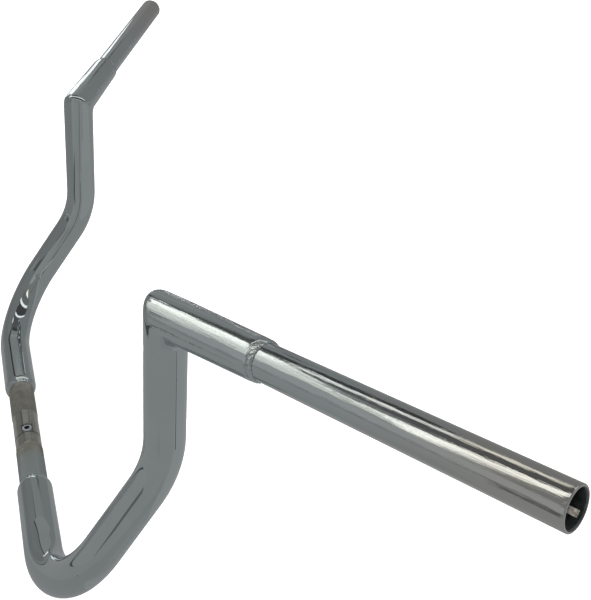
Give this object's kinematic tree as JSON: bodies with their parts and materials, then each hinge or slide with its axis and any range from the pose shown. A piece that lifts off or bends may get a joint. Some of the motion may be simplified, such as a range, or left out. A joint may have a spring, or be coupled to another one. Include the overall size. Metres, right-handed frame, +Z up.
{
  "type": "motorcycle handlebar",
  "caption": "Chromed tube motorcycle handlebar with a knurled clamp section, bent risers, mitred corners and pulled-back open grip tubes.",
  "frame": {"origin": "middle of the clamp section, on its axis", "axes": "+X along the clamp section to the rider's left, +Y back towards the rider, +Z up along the risers"},
  "size_m": [1.0206, 0.2522, 0.3306],
  "materials": {
    "chrome": "polished chrome plate on steel tube",
    "knurled_clamp": "dull grey-brown plated steel, knurled on both sides of a turned band",
    "dowel_steel": "bright drawn steel",
    "screw_steel": "zinc plated steel with a dark socket"
  },
  "bodies": {
    "root": {"left_riser": "chrome", "right_riser": "chrome", "left_stub": "chrome", "right_stub": "chrome", "left_grip_tube": "chrome", "right_grip_tube": "chrome", "left_clamp_tube": "knurled_clamp", "right_clamp_tube": "knurled_clamp", "joining_dowel": "dowel_steel", "set_screw": "screw_steel"}
  },
  "joints": []
}
